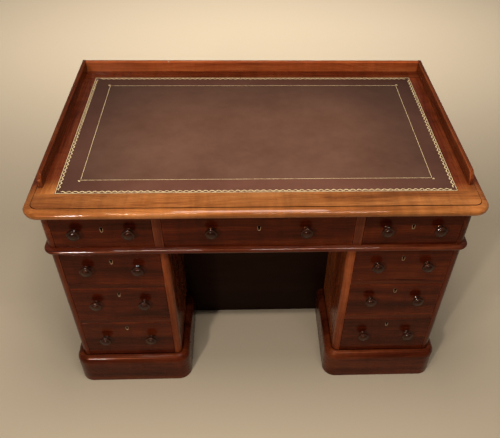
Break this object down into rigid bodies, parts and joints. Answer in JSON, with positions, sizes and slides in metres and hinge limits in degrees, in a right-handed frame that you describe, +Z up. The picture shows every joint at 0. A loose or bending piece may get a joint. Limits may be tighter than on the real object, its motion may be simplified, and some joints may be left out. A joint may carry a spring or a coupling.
{
  "type": "writing desk with drawers",
  "caption": "Wooden pedestal writing desk with a leather-lined top, a low gallery round it, a kneehole and sliding drawers with turned knobs.",
  "frame": {"origin": "on the floor, under the middle of the top board", "axes": "+X to the desk's right as a visitor in front sees it, +Y towards its back, +Z up"},
  "size_m": [1.219, 0.77, 0.786],
  "materials": {
    "polished_mahogany": "french polished, glossy",
    "turned_mahogany": "dark, french polished, glossy",
    "drawer_lining": "planed, unpolished",
    "leather": "smooth, waxed, gilt tooled",
    "brass": "aged, satin"
  },
  "bodies": {
    "carcass": {"top_board": "polished_mahogany", "leather_skiver": "leather", "gallery_back": "polished_mahogany", "gallery_left": "polished_mahogany", "gallery_right": "polished_mahogany", "frieze_end_left": "polished_mahogany", "frieze_end_right": "polished_mahogany", "frieze_back": "polished_mahogany", "frieze_partition_left": "polished_mahogany", "frieze_partition_right": "polished_mahogany", "frieze_base": "polished_mahogany", "modesty_panel": "polished_mahogany", "plinth_left": "polished_mahogany", "pedestal_outer_side_left": "polished_mahogany", "pedestal_inner_side_left": "polished_mahogany", "pedestal_back_left": "polished_mahogany", "divider_lower_left": "polished_mahogany", "divider_upper_left": "polished_mahogany", "plinth_right": "polished_mahogany", "pedestal_outer_side_right": "polished_mahogany", "pedestal_inner_side_right": "polished_mahogany", "pedestal_back_right": "polished_mahogany", "divider_lower_right": "polished_mahogany", "divider_upper_right": "polished_mahogany"},
    "left_top_drawer": {"left_top_drawer_front": "polished_mahogany", "left_top_drawer_box": "drawer_lining", "left_top_drawer_knob_left": "turned_mahogany", "left_top_drawer_knob_right": "turned_mahogany"},
    "left_middle_drawer": {"left_middle_drawer_front": "polished_mahogany", "left_middle_drawer_box": "drawer_lining", "left_middle_drawer_knob_left": "turned_mahogany", "left_middle_drawer_knob_right": "turned_mahogany"},
    "left_bottom_drawer": {"left_bottom_drawer_front": "polished_mahogany", "left_bottom_drawer_box": "drawer_lining", "left_bottom_drawer_knob_left": "turned_mahogany", "left_bottom_drawer_knob_right": "turned_mahogany"},
    "frieze_left_drawer": {"frieze_left_drawer_front": "polished_mahogany", "frieze_left_drawer_box": "drawer_lining", "frieze_left_drawer_knob_left": "turned_mahogany", "frieze_left_drawer_knob_right": "turned_mahogany"},
    "right_top_drawer": {"right_top_drawer_front": "polished_mahogany", "right_top_drawer_box": "drawer_lining", "right_top_drawer_knob_left": "turned_mahogany", "right_top_drawer_knob_right": "turned_mahogany"},
    "right_middle_drawer": {"right_middle_drawer_front": "polished_mahogany", "right_middle_drawer_box": "drawer_lining", "right_middle_drawer_knob_left": "turned_mahogany", "right_middle_drawer_knob_right": "turned_mahogany"},
    "right_bottom_drawer": {"right_bottom_drawer_front": "polished_mahogany", "right_bottom_drawer_box": "drawer_lining", "right_bottom_drawer_knob_left": "turned_mahogany", "right_bottom_drawer_knob_right": "turned_mahogany"},
    "frieze_right_drawer": {"frieze_right_drawer_front": "polished_mahogany", "frieze_right_drawer_box": "drawer_lining", "frieze_right_drawer_knob_left": "turned_mahogany", "frieze_right_drawer_knob_right": "turned_mahogany"},
    "frieze_centre_drawer": {"frieze_centre_drawer_front": "polished_mahogany", "frieze_centre_drawer_box": "drawer_lining", "frieze_centre_drawer_knob_left": "turned_mahogany", "frieze_centre_drawer_knob_right": "turned_mahogany"}
  },
  "joints": [
    {"name": "left_top_drawer_slide", "type": "slide", "parent": "carcass", "child": "left_top_drawer", "axis": [0, -1, 0], "range_m": [0, 0.38]},
    {"name": "left_middle_drawer_slide", "type": "slide", "parent": "carcass", "child": "left_middle_drawer", "axis": [0, -1, 0], "range_m": [0, 0.38]},
    {"name": "left_bottom_drawer_slide", "type": "slide", "parent": "carcass", "child": "left_bottom_drawer", "axis": [0, -1, 0], "range_m": [0, 0.38]},
    {"name": "frieze_left_drawer_slide", "type": "slide", "parent": "carcass", "child": "frieze_left_drawer", "axis": [0, -1, 0], "range_m": [0, 0.38]},
    {"name": "right_top_drawer_slide", "type": "slide", "parent": "carcass", "child": "right_top_drawer", "axis": [0, -1, 0], "range_m": [0, 0.38]},
    {"name": "right_middle_drawer_slide", "type": "slide", "parent": "carcass", "child": "right_middle_drawer", "axis": [0, -1, 0], "range_m": [0, 0.38]},
    {"name": "right_bottom_drawer_slide", "type": "slide", "parent": "carcass", "child": "right_bottom_drawer", "axis": [0, -1, 0], "range_m": [0, 0.38]},
    {"name": "frieze_right_drawer_slide", "type": "slide", "parent": "carcass", "child": "frieze_right_drawer", "axis": [0, -1, 0], "range_m": [0, 0.38]},
    {"name": "frieze_centre_drawer_slide", "type": "slide", "parent": "carcass", "child": "frieze_centre_drawer", "axis": [0, -1, 0], "range_m": [0, 0.38]}
  ]
}
